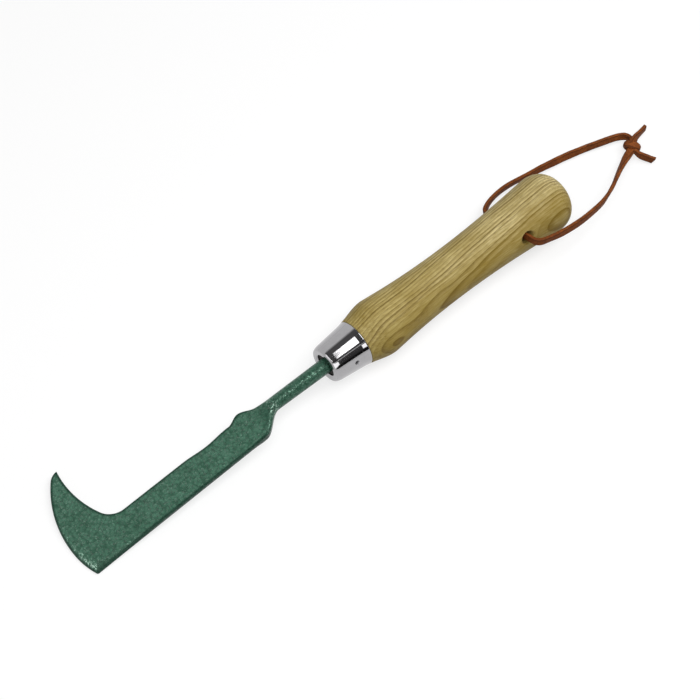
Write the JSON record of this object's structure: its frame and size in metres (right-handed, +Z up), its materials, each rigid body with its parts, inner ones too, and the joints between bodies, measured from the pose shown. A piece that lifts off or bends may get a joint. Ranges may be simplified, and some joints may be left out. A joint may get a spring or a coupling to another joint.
{
  "type": "patio knife",
  "caption": "Weeding knife with a hooked flat blade on a round neck, a steel ferrule, a turned wooden grip and a knotted leather hanging thong.",
  "frame": {"origin": "on the table under the middle of the tool's length and width, the thong left out", "axes": "+X from the blade to the grip's butt, +Y to the side the hook points to, +Z up from the table the tool lies on"},
  "size_m": [0.3983, 0.0711, 0.0336],
  "materials": {
    "blade_paint": "deep green hammered enamel, glossy",
    "ferrule_chrome": "polished",
    "pin_steel": "plain",
    "handle_ash": "turned ash, satin oil",
    "thong_leather": "waxed brown lace"
  },
  "bodies": {
    "knife": {"blade": "blade_paint", "ferrule": "ferrule_chrome", "ferrule_pin": "pin_steel", "handle": "handle_ash"},
    "thong": {"thong_near_leg": "thong_leather", "thong_far_leg": "thong_leather", "thong_knot": "thong_leather", "thong_tail_long": "thong_leather", "thong_tail_short": "thong_leather"}
  },
  "joints": [
    {"name": "thong_swing", "type": "hinge", "parent": "knife", "child": "thong", "pos_m": [0.12583, -0.0151, 0.01655], "axis": [-0.0027, -0.9205, 0.3907], "range_deg": [-150, 165]}
  ]
}
